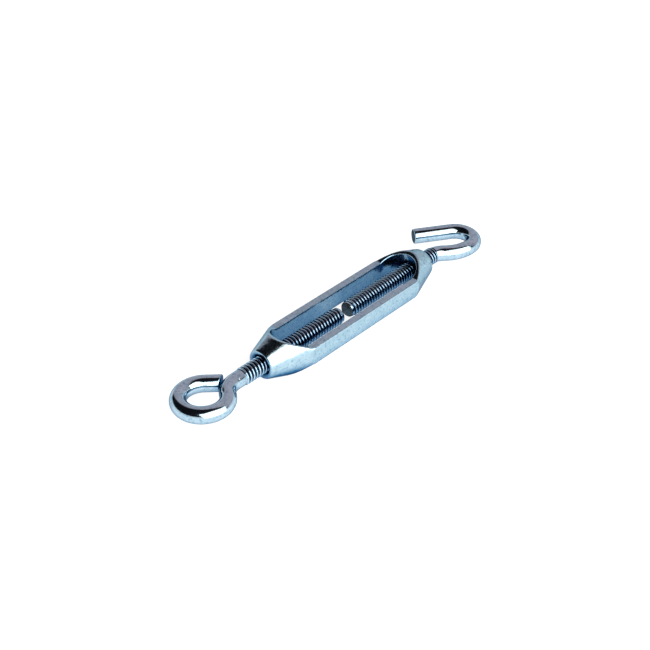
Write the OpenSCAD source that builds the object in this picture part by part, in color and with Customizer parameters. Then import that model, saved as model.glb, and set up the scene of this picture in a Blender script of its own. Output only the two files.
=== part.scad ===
// Hook-and-eye turnbuckle: an open frame with a tapped hub at each end, and two screws of
// opposite hand, one bent into a closed eye and the other into an open hook.
// The screws' common axis is X, from the eye to the hook, and the origin is the middle of the
// frame. The frame's slot goes through along Z. The eye and the hook lie flat in the XY plane.

/* [Screws] */
// Diameter of the plain rod that the eye and the hook are bent from
rod_d = 4.4; // [3.6:0.1:4.7]
// Outside diameter of the rolled threads
thread_d = 4.8; // [4.5:0.1:5.2]
// Advance of a screw in one turn
thread_pitch = 1.058; // [0.8:0.001:1.27]
// Depth of the thread grooves
thread_depth = 0.55; // [0.3:0.05:0.7]
// Radial clearance between a screw and its hub
bore_clearance = 0.05; // [0.02:0.01:0.1]
// Distance from the middle of the frame to the eye screw's end
eye_screw_gap = 2.5; // [2:0.1:4]
// Distance from the middle of the frame to the hook screw's end
hook_screw_gap = 0.2; // [0:0.1:3]
// Length of the plain point at the end of each screw
point_len = 0.8; // [0.5:0.1:1.2]

/* [Frame] */
// Length of the frame over its two hubs
frame_len = 64.8; // [60:0.1:70]
// Overall width across the two bars
frame_w = 15.4; // [14.4:0.1:17]
// Height of the bars
bar_h = 5.2; // [4.8:0.1:6]
// Diameter of the hubs at their ends
hub_d = 8.2; // [7.4:0.1:8.6]
// Angle between a hub's tapered side and its axis
hub_taper = 18.8; // [15:0.1:22]
// Distance from the middle of the frame to where the bars' flats start to rise onto the hubs
flat_end = 20.9; // [18:0.1:23]
// Slope of the flats where they rise
flat_rise = 25.5; // [15:0.5:35]
// Width of the slot between the bars
slot_w = 11; // [10:0.1:11.6]
// Length of the slot between its round ends' tips
slot_len = 52.6; // [49:0.1:53]
// Diameter of the countersink at each hub's mouth
mouth_d = 6.2; // [5.6:0.1:6.8]

/* [Eye] */
// Distance from the middle of the frame to the centre of the eye
eye_x = 51.3; // [50:0.1:54]
// Sideways offset of the eye's centre from the screw's axis
eye_offset = 0.75; // [0:0.05:1]
// Radius of the eye, to the middle of the rod
eye_r = 6.1; // [5.8:0.1:6.6]
// Radius of the bend between the eye and its screw, to the middle of the rod
eye_neck_r = 6.1; // [5.6:0.1:6.6]
// Length of the straight end of the rod beyond the eye's round part, on the rod's middle line
eye_tail_len = 4.25; // [2:0.05:4.25]
// Slant of the eye's cut end, which clears the neck beside it
eye_tail_slant = 14; // [10:1:20]
// Distance from the middle of the frame to the outer end of the eye screw's thread
eye_thread_end = 39.2; // [36:0.1:40]

/* [Hook] */
// Distance from the middle of the frame to the start of the hook's first bend
hook_neck_x = 36.1; // [35:0.1:38]
// Distance from the middle of the frame to the middle of the hook's round end
hook_x = 48.1; // [47:0.1:50]
// Drop of the hook's lower leg below the screw's axis
hook_drop = 5.2; // [4.8:0.1:5.6]
// Radius of the hook's first bend, to the middle of the rod
hook_neck_r = 5.7; // [4:0.1:7]
// Radius of the hook's round end, to the middle of the rod
hook_r = 5.05; // [4.6:0.05:5.6]
// Angle that the round end turns through
hook_turn = 146; // [130:1:160]
// Length of the hook's straight leg up to its tip
hook_leg_len = 11.4; // [8:0.1:12]

/* [Hidden] */

$fn = 96;
// The chamfers on a screw's point and round a hub's end
point_chamfer = 0.35;
hub_chamfer = 0.3;
// How far a cut runs past the face that it opens
cut_over = 1;
// Share of the pitch that a thread's flat crest and root each take up
thread_flat = 0.2;
// Each joint of a bolt's rod is covered by a sleeve that stands this little proud of the rod
sleeve_lift = 0.02;
sleeve_len = 0.4;

bore_d = thread_d + 2 * bore_clearance;
mouth_depth = (mouth_d - bore_d) / 2;

// The eye's neck bends away until the eye's own bend brings its centre to eye_x and eye_offset
eye_neck_turn = acos((eye_offset + eye_neck_r) / (eye_neck_r + eye_r));
eye_neck_x = eye_x - (eye_neck_r + eye_r) * sin(eye_neck_turn);
eye_tail_lean = 45;
eye_sweep = 180 + eye_tail_lean + eye_neck_turn;

// Two opposite bends of equal turn take the hook's rod down by hook_drop
hook_run = hook_x - hook_neck_x;
hook_neck_turn = 2 * atan(hook_drop / hook_run);
hook_leg_r = hook_run / sin(hook_neck_turn) - hook_neck_r;

module along_x(length, d) {
    rotate([0, 90, 0])
        cylinder(d = d, h = length);
}

// A double cone about the X axis, as wide at its middle as its two tapers make it
module tapered_blank() {
    half = frame_len / 2;
    rotate([0, 90, 0])
        rotate_extrude()
            polygon([
                [0, -half],
                [hub_d / 2 - hub_chamfer, -half],
                [hub_d / 2, hub_chamfer - half],
                [hub_d / 2 + half * tan(hub_taper), 0],
                [hub_d / 2, half - hub_chamfer],
                [hub_d / 2 - hub_chamfer, half],
                [0, half]
            ]);
}

// The frame's side view: level bars whose flats rise at both ends
module side_view() {
    half = frame_len / 2;
    level = bar_h / 2;
    top = level + (half - flat_end) * tan(flat_rise);
    polygon([
        [-half, top],
        [-flat_end, level],
        [flat_end, level],
        [half, top],
        [half, -top],
        [flat_end, -level],
        [-flat_end, -level],
        [-half, -top]
    ]);
}

// The tapped hole of the +X hub at the threads' outside diameter, and its countersink
module hub_bore() {
    along_x(frame_len / 2 + cut_over, bore_d);
    translate([frame_len / 2 - mouth_depth, 0, 0])
        rotate([0, 90, 0])
            cylinder(d1 = bore_d, d2 = bore_d + 2 * (mouth_depth + cut_over), h = mouth_depth + cut_over);
}

module slot() {
    reach = (slot_len - slot_w) / 2;
    linear_extrude(frame_w, center = true) {
        square([2 * reach, slot_w], center = true);
        for (x = [-reach, reach])
            translate([x, 0])
                circle(d = slot_w);
    }
}

module frame() {
    color("lightsteelblue")
        difference() {
            intersection() {
                tapered_blank();
                rotate([90, 0, 0])
                    linear_extrude(frame_w, center = true)
                        side_view();
            }
            slot();
            hub_bore();
            mirror([1, 0, 0])
                hub_bore();
        }
}

// Covers the joint of two stretches of rod that meet at the origin along X
module sleeve() {
    translate([-sleeve_len / 2, 0, 0])
        along_x(sleeve_len, rod_d + 2 * sleeve_lift);
}

// A stretch of rod along +X; what follows it starts at its end
module straight(length) {
    sleeve();
    along_x(length, rod_d);
    translate([length, 0, 0])
        children();
}

// A straight end of the rod, cut off at a slant that leaves its left side the shorter
module slanted_end(length, slant) {
    sleeve();
    difference() {
        along_x(length + rod_d, rod_d);
        translate([length, 0, 0])
            rotate([0, 0, slant])
                translate([0, -rod_d, -rod_d])
                    cube(2 * rod_d);
    }
}

// A bend to the left about a centre at +Y; what follows it starts at its end, along its new direction
module left(r, turn) {
    sleeve();
    translate([0, r, 0]) {
        rotate([0, 0, -90])
            rotate_extrude(angle = turn)
                translate([r, 0])
                    circle(d = rod_d);
        rotate([0, 0, turn])
            translate([0, -r, 0])
                children();
    }
}

module right(r, turn) {
    mirror([0, 1, 0])
        left(r, turn)
            mirror([0, 1, 0])
                children();
}

// One groove and crest of thread as [radius, x] points, from a root at x
function thread_turn(x) =
    let (crest = thread_d / 2, root = crest - thread_depth, flank = (1 - 2 * thread_flat) / 2)
    [
        [root, x],
        [root, x + thread_flat * thread_pitch],
        [crest, x + (thread_flat + flank) * thread_pitch],
        [crest, x + (2 * thread_flat + flank) * thread_pitch]
    ];

// A threaded shank from start to end along +X, its grooves drawn as rings
module thread(start, end) {
    turns = floor((end - start) / thread_pitch);
    stop = start + turns * thread_pitch;
    rotate([0, 90, 0])
        rotate_extrude()
            polygon(concat(
                [[0, start]],
                [for (i = [0 : turns - 1]) each thread_turn(start + i * thread_pitch)],
                [[thread_d / 2 - thread_depth, stop], [thread_d / 2 - thread_depth, end], [0, end]]
            ));
}

// The plain chamfered end of a screw, with its flat face at x = start
module screw_point(start) {
    r = thread_d / 2 - thread_depth / 2;
    rotate([0, 90, 0])
        rotate_extrude()
            polygon([
                [0, start],
                [r - point_chamfer, start],
                [r, start + point_chamfer],
                [r, start + point_len],
                [0, start + point_len]
            ]);
}

module eye_bolt() {
    color("silver")
        rotate([0, 0, 180]) {
            thread(eye_screw_gap + point_len, eye_thread_end);
            translate([eye_thread_end, 0, 0])
                straight(eye_neck_x - eye_thread_end)
                    left(eye_neck_r, eye_neck_turn)
                        right(eye_r, eye_sweep)
                            slanted_end(eye_tail_len, -eye_tail_slant);
        }
}

module eye_bolt_point() {
    color("dimgray")
        rotate([0, 0, 180])
            screw_point(eye_screw_gap);
}

module hook_bolt() {
    color("silver") {
        thread(hook_screw_gap + point_len, hook_neck_x);
        translate([hook_neck_x, 0, 0])
            right(hook_neck_r, hook_neck_turn)
                left(hook_leg_r, hook_neck_turn)
                    left(hook_r, hook_turn)
                        straight(hook_leg_len);
    }
}

module hook_bolt_point() {
    color("dimgray")
        screw_point(hook_screw_gap);
}

frame();
eye_bolt();
eye_bolt_point();
hook_bolt();
hook_bolt_point();
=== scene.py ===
import math

import bmesh
import bpy
import numpy as np
from mathutils import Matrix, Vector


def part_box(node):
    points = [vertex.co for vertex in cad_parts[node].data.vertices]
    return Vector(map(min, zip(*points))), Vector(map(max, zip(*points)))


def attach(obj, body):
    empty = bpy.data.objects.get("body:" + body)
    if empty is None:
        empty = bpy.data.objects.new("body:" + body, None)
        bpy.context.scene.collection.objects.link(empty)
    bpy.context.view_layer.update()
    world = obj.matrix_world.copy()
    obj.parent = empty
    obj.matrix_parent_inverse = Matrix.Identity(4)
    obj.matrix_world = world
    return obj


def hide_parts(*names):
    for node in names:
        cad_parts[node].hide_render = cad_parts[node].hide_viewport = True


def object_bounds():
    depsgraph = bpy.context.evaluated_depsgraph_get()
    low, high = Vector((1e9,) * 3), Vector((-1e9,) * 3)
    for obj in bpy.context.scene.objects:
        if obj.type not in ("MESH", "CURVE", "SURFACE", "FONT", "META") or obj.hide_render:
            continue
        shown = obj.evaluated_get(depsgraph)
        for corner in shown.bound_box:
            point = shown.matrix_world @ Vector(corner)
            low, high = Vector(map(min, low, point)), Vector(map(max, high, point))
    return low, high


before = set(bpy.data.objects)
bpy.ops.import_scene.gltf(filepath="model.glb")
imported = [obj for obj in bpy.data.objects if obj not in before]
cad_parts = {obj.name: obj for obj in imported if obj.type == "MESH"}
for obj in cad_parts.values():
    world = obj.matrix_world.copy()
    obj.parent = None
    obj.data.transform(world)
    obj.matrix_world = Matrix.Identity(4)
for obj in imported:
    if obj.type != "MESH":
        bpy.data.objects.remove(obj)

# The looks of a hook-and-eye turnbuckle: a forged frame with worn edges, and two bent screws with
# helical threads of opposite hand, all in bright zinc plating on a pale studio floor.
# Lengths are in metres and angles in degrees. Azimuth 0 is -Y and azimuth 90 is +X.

MM = 0.001
WHITE = (1, 1, 1)
cad_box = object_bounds()

# The screws, whose outside size and plain points come from the frame's solids
thread_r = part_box("hook_bolt")[1].z
point_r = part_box("hook_bolt_point")[1].z
hook_point_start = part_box("hook_bolt_point")[0].x
hook_thread_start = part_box("hook_bolt_point")[1].x
eye_point_start = -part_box("eye_bolt_point")[1].x
eye_thread_start = -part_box("eye_bolt_point")[0].x
rod_r = 2.2 * MM
root_r = 1.85 * MM
thread_pitch = 1.058 * MM
thread_flat = 0.2
thread_lead_in = 0.6 * thread_pitch
thread_runout = 0.5 * thread_pitch
point_chamfer = 0.35 * MM
point_edge = 0.06 * MM
end_rounding = 0.25 * MM

# The eye: a neck bent one way, the ring bent the other, and a short straight end
eye_x = 51.3 * MM
eye_offset = 0.75 * MM
eye_r = 6.1 * MM
eye_neck_r = 6.1 * MM
eye_neck_turn = math.degrees(math.acos((eye_offset + eye_neck_r) / (eye_neck_r + eye_r)))
eye_neck_x = eye_x - (eye_neck_r + eye_r) * math.sin(math.radians(eye_neck_turn))
eye_tail_lean = 45
eye_tail_len = 4.25 * MM
eye_tail_slant = 14
eye_thread_end = 39.2 * MM

# The hook: two easy bends down to its lower leg, the round end, and a straight upper leg. Its
# thread was rolled before the bending and runs on into the first bend.
hook_neck_x = 36.1 * MM
hook_x = 48.1 * MM
hook_drop = 5.2 * MM
hook_neck_r = 5.7 * MM
hook_r = 5.05 * MM
hook_turn = 146
hook_leg_len = 11.4 * MM
hook_run = hook_x - hook_neck_x
hook_neck_turn = 2 * math.degrees(math.atan(hook_drop / hook_run))
hook_second_r = hook_run / math.sin(math.radians(hook_neck_turn)) - hook_neck_r
hook_bent_thread = 1.5 * MM

# How finely the meshes are made
ring_steps = 64
bend_step = 3
rows_per_turn = 18
crease_angle = 50
frame_voxel = 0.12 * MM
frame_smoothing = 36
frame_thinning = 0.25

# The plating: how far round a recess its painted shade reaches, and the sizes of its patterns in cells to the
# metre
painted_shade_reach = 6 * MM
cloud_scale = 420
stain_scale = 1300
edge_tint = (0.3, 0.34, 0.4, 1)

# The studio round the object
camera_azimuth = -47.7
window_azimuth = -8
wall_azimuth = 107
floor_gap = 0.1 * MM


def toward(azimuth, elevation):
    """The direction from the object to something seen at an azimuth and an elevation."""
    turn = math.radians(azimuth)
    rise = math.radians(elevation)
    return Vector((math.sin(turn) * math.cos(rise), -math.cos(turn) * math.cos(rise), math.sin(rise)))


def smooth_step(x):
    x = np.clip(x, 0, 1)
    return x * x * (3 - 2 * x)


# Meshes

ring_turns = math.tau * np.arange(ring_steps) / ring_steps


def plain_rod(travel):
    """A plain rod's radius all round, and how far its surface stands out of any groove."""
    return np.full(ring_steps, rod_r), np.ones(ring_steps)


def helical_thread(length, hand):
    """The surface of a thread of this length; hand is 1 for a right-hand thread, -1 for a left-hand one."""
    def surface(travel):
        phase = (travel / thread_pitch - hand * ring_turns / math.tau) % 1
        from_crest = np.abs(2 * phase - 1)
        height = smooth_step((1 - thread_flat - from_crest) / (1 - 2 * thread_flat))
        lead_in = smooth_step(travel / thread_lead_in)
        merge = smooth_step((travel - (length - thread_runout)) / thread_runout)
        radii = (root_r + (thread_r - root_r) * height) * lead_in + point_r * (1 - lead_in)
        return radii * (1 - merge) + rod_r * merge, np.maximum(height, np.maximum(1 - lead_in, merge))
    return surface


class Rod:
    """Follows a screw from its inner end, through straights and bends in the XY plane."""

    def __init__(self, x):
        self.place = Vector((x, 0, 0))
        self.heading = 0
        self.travel = 0
        self.rings = []
        self.proud = []

    def ring(self, radii, proud, slant=0):
        """Adds a ring of points; a slant leans it back on the left of the rod."""
        turn = math.radians(self.heading)
        along = np.array((math.cos(turn), math.sin(turn), 0))
        left = np.array((-along[1], along[0], 0))
        side = radii * np.cos(ring_turns)
        back = side * math.tan(math.radians(slant))
        up = np.outer(radii * np.sin(ring_turns), (0, 0, 1))
        self.rings.append(np.array(self.place) + np.outer(side, left) - np.outer(back, along) + up)
        self.proud.append(proud)

    def move(self, length):
        turn = math.radians(self.heading)
        self.place = self.place + Vector((math.cos(turn), math.sin(turn), 0)) * length

    def run(self, length, turn=0, steps=1, surface=plain_rod):
        """Goes on by a length in even steps, bending left by a positive turn."""
        if not self.rings:
            self.ring(*surface(self.travel))
        half_step = turn / steps / 2
        bulge = math.sin(math.radians(half_step)) / math.radians(half_step) if turn else 1
        for _ in range(steps):
            self.travel += length / steps
            self.heading += half_step
            self.move(length / steps * bulge)
            self.heading += half_step
            self.ring(*surface(self.travel))

    def bend(self, radius, turn):
        self.run(radius * math.radians(abs(turn)), turn, math.ceil(abs(turn) / bend_step))

    def end(self, slant=0, steps=4):
        """Closes the rod with a small rounding round its cut face."""
        self.rings.pop()
        self.proud.pop()
        self.move(-end_rounding)
        start = self.place.copy()
        for i in range(steps + 1):
            share = math.radians(90 * i / steps)
            self.place = start
            self.move(end_rounding * math.sin(share))
            radius = rod_r - end_rounding * (1 - math.cos(share))
            self.ring(np.full(ring_steps, radius), np.ones(ring_steps), slant)


def mesh_through(name, rings, proud):
    """A closed tube through rings of points, with flat caps as its last two faces."""
    count = ring_steps
    faces = []
    for row in range(len(rings) - 1):
        for i in range(count):
            j = (i + 1) % count
            faces.append((row * count + i, row * count + j, (row + 1) * count + j, (row + 1) * count + i))
    faces.append(tuple(range(count)))
    faces.append(tuple((len(rings) - 1) * count + i for i in range(count)))
    mesh = bpy.data.meshes.new(name)
    mesh.from_pydata([tuple(p) for ring in rings for p in ring], [], faces)
    attribute = mesh.attributes.new("proud", "FLOAT", "POINT")
    attribute.data.foreach_set("value", np.concatenate(proud))
    work = bmesh.new()
    work.from_mesh(mesh)
    bmesh.ops.recalc_face_normals(work, faces=work.faces)
    for edge in work.edges:
        edge.smooth = edge.calc_face_angle(0) < math.radians(crease_angle)
    work.to_mesh(mesh)
    work.free()
    return mesh


def turned_to_eye(mesh):
    """The eye's half of the object is made along +X and turned half round to -X."""
    mesh.transform(Matrix.Rotation(math.pi, 4, "Z"))
    return mesh


def thread_rows(length):
    return round(length / thread_pitch * rows_per_turn)


def eye_screw_mesh():
    length = eye_thread_end - eye_thread_start
    rod = Rod(eye_thread_start)
    rod.run(length, 0, thread_rows(length), helical_thread(length, -1))
    rod.run(eye_neck_x - eye_thread_end)
    rod.bend(eye_neck_r, eye_neck_turn)
    rod.bend(eye_r, -(180 + eye_tail_lean + eye_neck_turn))
    rod.run(eye_tail_len)
    rod.end(-eye_tail_slant)
    return turned_to_eye(mesh_through("eye_screw", rod.rings, rod.proud))


def hook_screw_mesh():
    straight = hook_neck_x - hook_thread_start
    thread = helical_thread(straight + hook_bent_thread, 1)
    threaded_turn = math.degrees(hook_bent_thread / hook_neck_r)
    rod = Rod(hook_thread_start)
    rod.run(straight, 0, thread_rows(straight), thread)
    rod.run(hook_bent_thread, -threaded_turn, thread_rows(hook_bent_thread), thread)
    rod.bend(hook_neck_r, threaded_turn - hook_neck_turn)
    rod.bend(hook_second_r, hook_neck_turn)
    rod.bend(hook_r, hook_turn)
    rod.run(hook_leg_len)
    rod.end()
    return mesh_through("hook_screw", rod.rings, rod.proud)


def point_mesh(name, start, end):
    """The plain end of a screw along +X, its chamfer between two softened edges."""
    profile = [
        (start, point_r - point_chamfer - point_edge),
        (start + point_edge / 4, point_r - point_chamfer),
        (start + point_chamfer, point_r - point_edge / 2),
        (start + point_chamfer + point_edge, point_r),
        (end, point_r),
    ]
    rings = []
    for x, radius in profile:
        ring = [np.full(ring_steps, x), radius * np.cos(ring_turns), radius * np.sin(ring_turns)]
        rings.append(np.transpose(ring))
    return mesh_through(name, rings, [np.ones(ring_steps)] * len(rings))


def frame_mesh():
    """The frame's own solid with its edges worn round, as forging and plating leave them."""
    source = bpy.data.objects.new("frame_source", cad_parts["frame"].data.copy())
    bpy.context.scene.collection.objects.link(source)
    even = source.modifiers.new("even", "REMESH")
    even.mode = "VOXEL"
    even.voxel_size = frame_voxel
    wear = source.modifiers.new("wear", "SMOOTH")
    wear.factor = 0.5
    wear.iterations = frame_smoothing
    thin = source.modifiers.new("thin", "DECIMATE")
    thin.ratio = frame_thinning
    depsgraph = bpy.context.evaluated_depsgraph_get()
    mesh = bpy.data.meshes.new_from_object(source.evaluated_get(depsgraph))
    bpy.data.objects.remove(source)
    mesh.materials.clear()
    return mesh


# Materials

class Nodes:
    """Shorthand for building one node tree."""

    def __init__(self, owner):
        owner.use_nodes = True
        self.tree = owner.node_tree
        self.tree.nodes.clear()

    def add(self, kind, links=None, settings=None, **inputs):
        """Adds a node with its settings, its sockets' values, and links into its sockets."""
        node = self.tree.nodes.new(kind)
        for key, value in (settings or {}).items():
            setattr(node, key, value)
        for key, value in inputs.items():
            node.inputs[key.replace("_", " ")].default_value = value
        for key, source in (links or {}).items():
            self.tree.links.new(source, node.inputs[key])
        return node

    def ramp(self, source, *stops):
        """Turns a value into colours or greys, each stop being a place and a colour or a grey."""
        node = self.add("ShaderNodeValToRGB", {"Fac": source})
        elements = node.color_ramp.elements
        while len(elements) < len(stops):
            elements.new(1)
        for element, (place, value) in zip(elements, stops):
            element.position = place
            element.color = (*value, 1) if isinstance(value, tuple) else (value, value, value, 1)
        return node.outputs["Color"]

    def multiply(self, one, other):
        """Multiplies two colours; sockets 6, 7 and 2 are the Mix node's colour ones."""
        settings = {"data_type": "RGBA", "blend_type": "MULTIPLY"}
        node = self.add("ShaderNodeMix", settings=settings, Factor=1)
        self.tree.links.new(one, node.inputs[6])
        self.tree.links.new(other, node.inputs[7])
        return node.outputs[2]


def plating(
    name, tint, deep_tint, gloss_range, open_at,
    grain_scale, wave_height, grain_height, pit_height, paints_groove_shade=True,
):
    """Bright zinc plating, clouded and stained, with waves, a fine grain and pits.

    It is at its brightest where the share of open sky is open_at or more; below that it gets a painted shade,
    darker and bluer in recesses.
    On a threaded piece it also gets a painted shade, near black, in its thread grooves, wherever the piece's
    own "proud" attribute is low.
    """
    material = bpy.data.materials.new(name)
    n = Nodes(material)
    place = n.add("ShaderNodeTexCoord").outputs["Object"]
    clouds = n.add("ShaderNodeTexNoise", {"Vector": place}, Scale=cloud_scale, Detail=5, Roughness=0.6)
    stains = n.add("ShaderNodeTexNoise", {"Vector": place}, Scale=stain_scale, Detail=3, Roughness=0.5)
    grain = n.add("ShaderNodeTexNoise", {"Vector": place}, Scale=grain_scale, Detail=6, Roughness=0.6)
    pits = n.add("ShaderNodeTexVoronoi", {"Vector": place}, Scale=grain_scale / 2)
    open_sky = n.add("ShaderNodeAmbientOcclusion", settings={"samples": 6}, Distance=painted_shade_reach)

    colour = n.ramp(clouds.outputs["Fac"], (0.35, deep_tint), (0.65, tint))
    colour = n.multiply(colour, n.ramp(stains.outputs["Fac"], (0.3, (0.62, 0.72, 0.79)), (0.48, WHITE)))
    # Painted shade: the colour goes darker and bluer where ambient occlusion finds a recess
    painted_shade_stops = (open_at - 0.6, (0.03, 0.13, 0.28)), (open_at - 0.2, (0.3, 0.48, 0.67)), (open_at, WHITE)
    colour = n.multiply(colour, n.ramp(open_sky.outputs["AO"], *painted_shade_stops))
    # Painted shade in the thread grooves: the colour goes near black where the surface sits low
    if paints_groove_shade:
        proud = n.add("ShaderNodeAttribute", settings={"attribute_name": "proud"})
        colour = n.multiply(colour, n.ramp(proud.outputs["Fac"], (0, 0.04), (0.35, 0.2), (0.7, 1.0)))
    gloss = n.ramp(grain.outputs["Fac"], (0.3, gloss_range[0]), (0.75, gloss_range[1]))

    wavy = n.add("ShaderNodeBump", {"Height": clouds.outputs["Fac"]}, Distance=wave_height)
    grain_bumps = {"Height": grain.outputs["Fac"], "Normal": wavy.outputs["Normal"]}
    fine = n.add("ShaderNodeBump", grain_bumps, Distance=grain_height)
    pit_shape = n.ramp(pits.outputs["Distance"], (0, 0.0), (0.35, 1.0))
    pit_bumps = {"Height": pit_shape, "Normal": fine.outputs["Normal"]}
    pitted = n.add("ShaderNodeBump", pit_bumps, Distance=pit_height)
    links = {"Base Color": colour, "Roughness": gloss, "Normal": pitted.outputs["Normal"]}
    surface = n.add("ShaderNodeBsdfPrincipled", links, Metallic=1, Specular_Tint=edge_tint)
    n.add("ShaderNodeOutputMaterial", {"Surface": surface.outputs["BSDF"]})
    return material


def screw_plating():
    return plating(
        "screw_plating",
        tint=(0.46, 0.62, 0.72),
        deep_tint=(0.38, 0.54, 0.65),
        gloss_range=(0.07, 0.17),
        open_at=0.75,
        grain_scale=2600,
        wave_height=0.01 * MM,
        grain_height=0.004 * MM,
        pit_height=0.002 * MM,
    )


def frame_plating():
    return plating(
        "frame_plating",
        tint=(0.42, 0.59, 0.68),
        deep_tint=(0.35, 0.52, 0.62),
        gloss_range=(0.1, 0.22),
        open_at=0.95,
        grain_scale=1500,
        wave_height=0.05 * MM,
        grain_height=0.015 * MM,
        pit_height=0.01 * MM,
        paints_groove_shade=False,
    )


def sheared_end():
    return plating(
        "sheared_end",
        tint=(0.13, 0.16, 0.17),
        deep_tint=(0.07, 0.09, 0.1),
        gloss_range=(0.3, 0.5),
        open_at=0.75,
        grain_scale=3000,
        wave_height=0.02 * MM,
        grain_height=0.03 * MM,
        pit_height=0.02 * MM,
        paints_groove_shade=False,
    )


def floor_paint():
    """A white sheet that glows faintly, as on a light table, so that the shadows on it stay pale."""
    material = bpy.data.materials.new("floor_paint")
    n = Nodes(material)
    mottle = n.add("ShaderNodeTexNoise", Scale=30)
    colour = n.ramp(mottle.outputs["Fac"], (0.3, (0.54, 0.55, 0.55)), (0.7, (0.57, 0.58, 0.58)))
    surface = n.add("ShaderNodeBsdfPrincipled", {"Base Color": colour}, Roughness=0.8, Emission_Strength=0.8)
    n.add("ShaderNodeOutputMaterial", {"Surface": surface.outputs["BSDF"]})
    return material


# The object

def add_object(name, mesh, *materials):
    made = bpy.data.objects.new(name, mesh)
    bpy.context.scene.collection.objects.link(made)
    for material in materials:
        mesh.materials.append(material)
    return made


def add_piece(name, mesh, body, slot, node, *materials):
    """Puts a mesh into the scene as a piece that rides on a body in place of its CAD node."""
    piece = add_object(name, mesh, *materials)
    for polygon in mesh.polygons:
        polygon.use_smooth = True
    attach(piece, body)
    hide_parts(node)


def build_object():
    plated = screw_plating()
    sheared = sheared_end()
    eye_point = turned_to_eye(point_mesh("eye_point", eye_point_start, eye_thread_start))
    hook_point = point_mesh("hook_point", hook_point_start, hook_thread_start)
    hook_screw = hook_screw_mesh()
    chamfer = range(2 * ring_steps)
    first_cap, last_cap = -2, -1
    cut_faces = [
        (eye_point, [*chamfer, first_cap]),
        (hook_point, [*chamfer, first_cap]),
        (hook_screw, [last_cap]),
    ]
    for mesh, faces in cut_faces:
        for face in faces:
            mesh.polygons[face].material_index = 1
    add_piece("frame_body", frame_mesh(), "frame", "plated_frame", "frame", frame_plating())
    add_piece("eye_screw", eye_screw_mesh(), "eye", "plated_rod", "eye_bolt", plated)
    add_piece("eye_point", eye_point, "eye_point", "plated_rod", "eye_bolt_point", plated, sheared)
    add_piece("hook_screw", hook_screw, "hook", "plated_rod", "hook_bolt", plated, sheared)
    add_piece("hook_point", hook_point, "hook_point", "plated_rod", "hook_bolt_point", plated, sheared)


# The studio

def build_floor():
    """A pale floor, just below the lowest part of the object."""
    reach = 4
    level = cad_box[0].z - floor_gap
    mesh = bpy.data.meshes.new("floor")
    corners = [(-reach, -reach, level), (reach, -reach, level), (reach, reach, level), (-reach, reach, level)]
    mesh.from_pydata(corners, [], [(0, 1, 2, 3)])
    add_object("floor", mesh, floor_paint())


def build_room():
    """A dark room with a grey wall beyond the object and a pale band all round at the horizon."""
    world = bpy.data.worlds.new("room")
    bpy.context.scene.world = world
    n = Nodes(world)
    direction = n.add("ShaderNodeTexCoord").outputs["Generated"]
    facing = n.add("ShaderNodeVectorMath", {0: direction}, {"operation": "DOT_PRODUCT"})
    facing.inputs[1].default_value = toward(wall_azimuth, 8)
    dark = (0.008, 0.008, 0.01)
    room = n.ramp(facing.outputs["Value"], (0.42, dark), (0.5, (0.54, 0.44, 0.47)), (1, (0.72, 0.58, 0.62)))
    split = n.add("ShaderNodeSeparateXYZ", {"Vector": direction})
    band = n.ramp(split.outputs["Z"], (0.2, 0.0), (0.28, 1.0))
    mixed = n.add("ShaderNodeMix", {"Factor": band}, {"data_type": "RGBA"})
    mixed.inputs[6].default_value = (1.05, 1.05, 1.05, 1)
    n.tree.links.new(room, mixed.inputs[7])
    glow = n.add("ShaderNodeBackground", {"Color": mixed.outputs[2]})
    n.add("ShaderNodeOutputWorld", {"Surface": glow.outputs["Background"]})


def add_light(name, kind, direction, power):
    """A lamp one metre off in a direction, shining back at the object."""
    lamp = bpy.data.lights.new(name, kind)
    lamp.energy = power
    light = bpy.data.objects.new(name, lamp)
    bpy.context.scene.collection.objects.link(light)
    light.location = direction
    light.rotation_mode = "QUATERNION"
    light.rotation_quaternion = direction.to_track_quat("Z", "Y")
    return lamp


def build_lights():
    """A window-like softbox, which the metal reflects as white, and a broad soft sun above it."""
    softbox = add_light("softbox", "AREA", toward(window_azimuth, 30), 18)
    softbox.shape = "RECTANGLE"
    softbox.size = 1.6
    softbox.size_y = 1.15
    sun = add_light("sun", "SUN", toward(window_azimuth + 10, 48), 0.6)
    sun.color = (1, 0.82, 0.74)
    sun.angle = math.radians(42)


def build_camera():
    """Looks down along the object from beyond its eye."""
    distance = 330.2 * MM
    pan_right = -5.55 * MM
    pan_up = -3.88 * MM
    back = toward(camera_azimuth, 35.7)
    right = toward(camera_azimuth + 90, 0)
    up = back.cross(right)
    data = bpy.data.cameras.new("camera")
    data.lens = 68.5
    data.clip_start = 10 * MM
    data.clip_end = 20
    camera = bpy.data.objects.new("camera", data)
    bpy.context.scene.collection.objects.link(camera)
    camera.location = back * distance + right * pan_right + up * pan_up
    camera.rotation_mode = "QUATERNION"
    camera.rotation_quaternion = back.to_track_quat("Z", "Y")
    bpy.context.scene.camera = camera


build_object()
build_floor()
build_room()
build_lights()
build_camera()
bpy.context.scene.view_settings.view_transform = "Standard"
